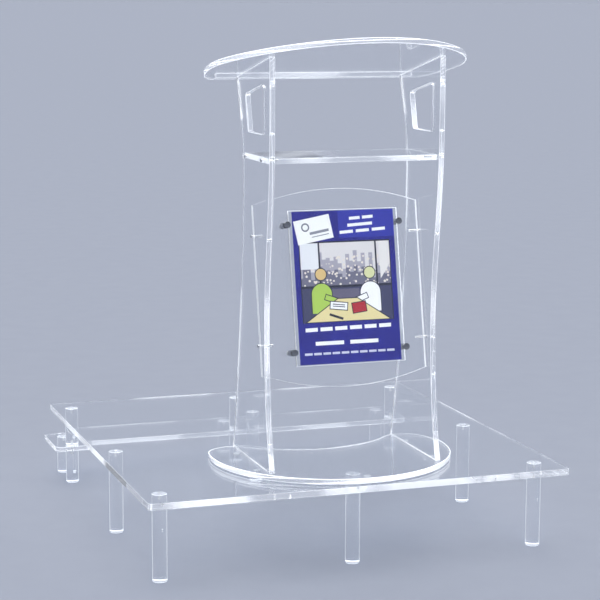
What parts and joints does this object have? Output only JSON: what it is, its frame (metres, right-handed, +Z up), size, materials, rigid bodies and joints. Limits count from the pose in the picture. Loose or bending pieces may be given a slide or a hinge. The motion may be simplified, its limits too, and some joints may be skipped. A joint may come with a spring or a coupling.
{
  "type": "presentation lectern",
  "caption": "Clear lectern with a sloping desk, shelf and framed poster, standing on its own low platform with a rear step.",
  "frame": {"origin": "on the floor, under the middle of the whole object's box", "axes": "+Z up; -Y towards the audience; +Y towards the speaker and the rear step; +X is right as the audience sees it"},
  "size_m": [1.21, 1.4328, 1.4388],
  "materials": {
    "clear_acrylic": "clear cast sheet and rod with polished edges",
    "chrome": "polished",
    "steel": "plain zinc-coated screws and studs",
    "print": "printed sheet",
    "clear_rubber": "soft translucent pads"
  },
  "bodies": {
    "platform": {"platform_deck": "clear_acrylic", "front_left_leg": "clear_acrylic", "front_centre_leg": "clear_acrylic", "front_right_leg": "clear_acrylic", "middle_left_leg": "clear_acrylic", "middle_right_leg": "clear_acrylic", "inner_leg": "clear_acrylic", "back_left_upper_leg": "clear_acrylic", "back_centre_upper_leg": "clear_acrylic", "back_right_upper_leg": "clear_acrylic", "back_left_lower_leg": "clear_acrylic", "back_centre_lower_leg": "clear_acrylic", "back_right_lower_leg": "clear_acrylic", "step_left_leg": "clear_acrylic", "step_centre_leg": "clear_acrylic", "step_right_leg": "clear_acrylic", "deck_studs": "steel", "tread_studs": "steel", "step_studs": "steel", "step_tread": "clear_acrylic"},
    "lectern": {"base_pads": "clear_rubber", "base_plate": "clear_acrylic", "left_flank": "clear_acrylic", "right_flank": "clear_acrylic", "desk_top": "clear_acrylic", "document_stop": "clear_acrylic", "shelf": "clear_acrylic", "shelf_screws": "steel", "front_panel": "clear_acrylic", "panel_screws": "steel", "standoff_barrels": "chrome", "barrel_screws": "steel", "poster_back_plate": "clear_acrylic"},
    "poster": {"poster_sheet": "print"},
    "front_plate": {"poster_front_plate": "clear_acrylic"},
    "upper_left_cap": {"upper_left_cap": "chrome"},
    "upper_right_cap": {"upper_right_cap": "chrome"},
    "lower_left_cap": {"lower_left_cap": "chrome"},
    "lower_right_cap": {"lower_right_cap": "chrome"}
  },
  "joints": [
    {"name": "lectern_lift", "type": "slide", "parent": "platform", "child": "lectern", "axis": [0, 0, 1], "range_m": [0, 0.3]},
    {"name": "poster_draw", "type": "slide", "parent": "lectern", "child": "poster", "axis": [0, 0.1959, 0.9806], "range_m": [0, 0.14]},
    {"name": "front_plate_pull", "type": "slide", "parent": "lectern", "child": "front_plate", "axis": [0, -0.9806, 0.1959], "range_m": [0, 0.05]},
    {"name": "upper_left_cap_turn", "type": "hinge", "parent": "front_plate", "child": "upper_left_cap", "pos_m": [-0.1453, -0.41562, 0.92566], "axis": [0, -0.9806, 0.1959], "range_deg": [0, 2700]},
    {"name": "upper_right_cap_turn", "type": "hinge", "parent": "front_plate", "child": "upper_right_cap", "pos_m": [0.1813, -0.41562, 0.92566], "axis": [0, -0.9806, 0.1959], "range_deg": [0, 2700]},
    {"name": "lower_left_cap_turn", "type": "hinge", "parent": "front_plate", "child": "lower_left_cap", "pos_m": [-0.1453, -0.4842, 0.58245], "axis": [0, -0.9806, 0.1959], "range_deg": [0, 2700]},
    {"name": "lower_right_cap_turn", "type": "hinge", "parent": "front_plate", "child": "lower_right_cap", "pos_m": [0.1813, -0.4842, 0.58245], "axis": [0, -0.9806, 0.1959], "range_deg": [0, 2700]}
  ]
}
